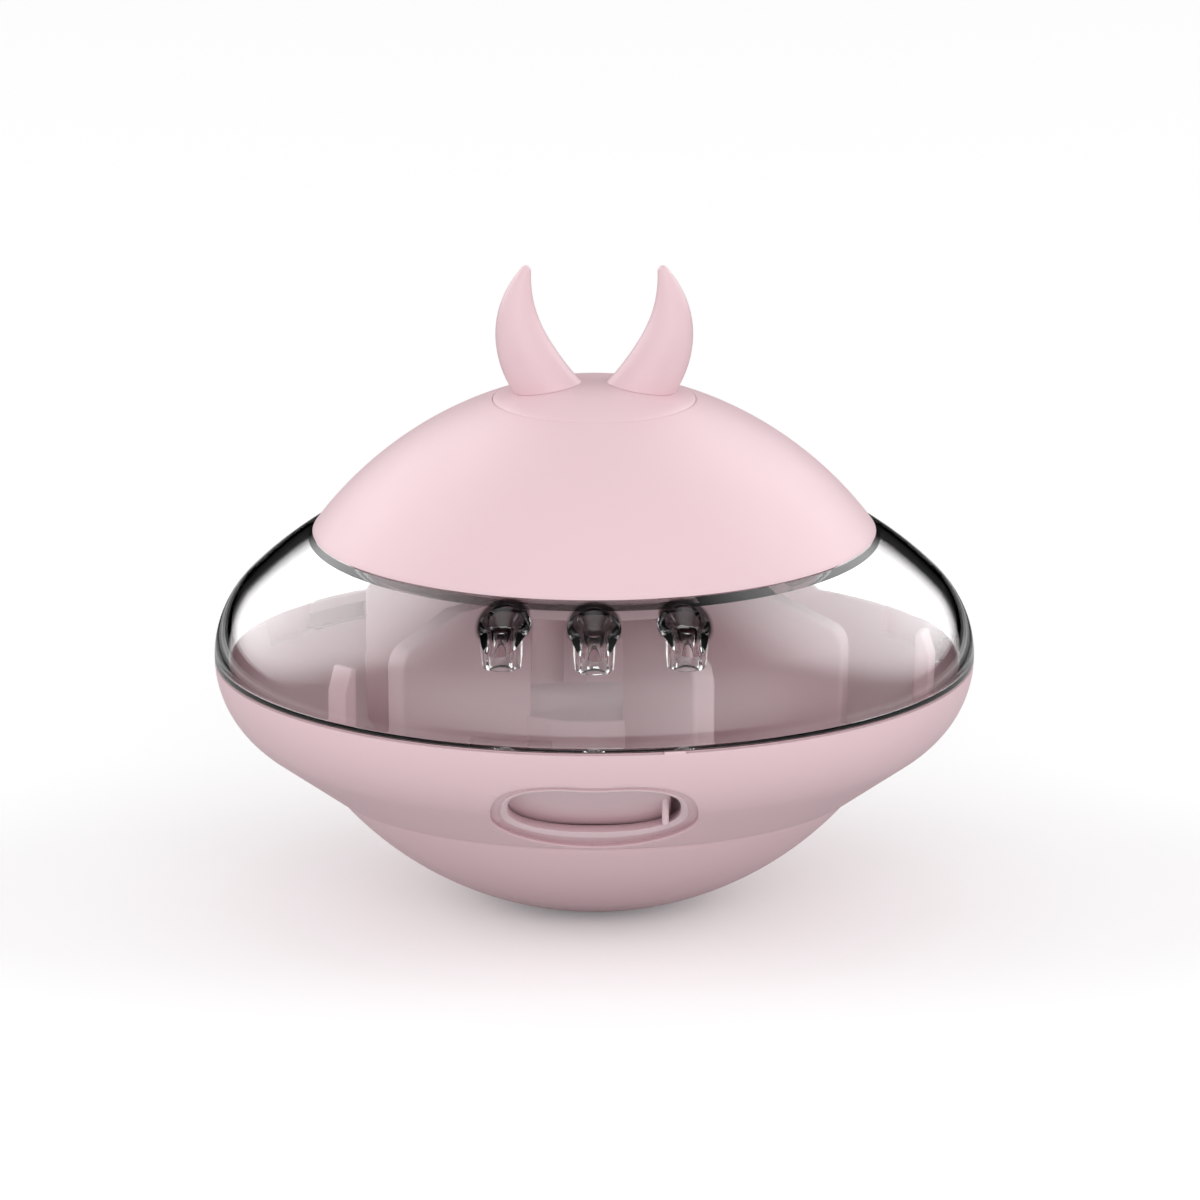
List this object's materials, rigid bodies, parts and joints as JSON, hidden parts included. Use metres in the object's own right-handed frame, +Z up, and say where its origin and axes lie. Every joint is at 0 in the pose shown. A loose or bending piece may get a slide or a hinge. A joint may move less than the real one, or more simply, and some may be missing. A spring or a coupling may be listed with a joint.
{
  "type": "wobble treat dispenser toy",
  "caption": "Saucer-shaped pet toy with a weighted round base, clear cover and horned twist lid; treats drop out of a gated slot as it rocks.",
  "frame": {"origin": "middle of the flat spot that the toy rests on", "axes": "+Z up along the toy's axis, -Y towards the treat outlet, +X to the outlet's right as seen from the front"},
  "size_m": [0.12, 0.12, 0.1029],
  "materials": {
    "pink_plastic": "satin moulded ABS",
    "pink_base": "satin moulded ABS",
    "pink_soft": "soft matte silicone",
    "smoky_clear": "polished clear PC with a slight smoke tint",
    "white_silicone": "soft matte silicone",
    "iron_weight": "as cast",
    "steel": "zinc plated"
  },
  "bodies": {
    "bowl_group": {"base_cap": "pink_base", "counterweight": "iron_weight", "weight_washer": "steel", "weight_screw": "steel", "base_screws": "steel", "base_plugs": "pink_base", "bowl": "pink_plastic", "outlet_bezel": "pink_plastic", "gate_guide": "pink_plastic", "baffle": "pink_plastic", "baffle_screw": "steel"},
    "gate": {"outlet_gate": "pink_plastic"},
    "cover": {"clear_cover": "smoky_clear"},
    "lid": {"lid_dome": "pink_plastic", "lid_collar": "pink_plastic", "collar_screws": "steel", "lid_seal": "white_silicone", "horn_cap": "pink_plastic", "cap_retainer": "pink_plastic", "cap_screws": "steel", "horn_left": "pink_soft", "horn_right": "pink_soft"}
  },
  "joints": [
    {"name": "gate_slide", "type": "hinge", "parent": "bowl_group", "child": "gate", "pos_m": [0, 0, 0.0282], "axis": [0, 0, -1], "range_deg": [0, 22]},
    {"name": "cover_twist", "type": "hinge", "parent": "bowl_group", "child": "cover", "pos_m": [0, 0, 0.0395], "axis": [0, 0, 1], "range_deg": [0, 12]},
    {"name": "lid_twist", "type": "hinge", "parent": "cover", "child": "lid", "pos_m": [0, 0, 0.06], "axis": [0, 0, 1], "range_deg": [0, 35]}
  ]
}
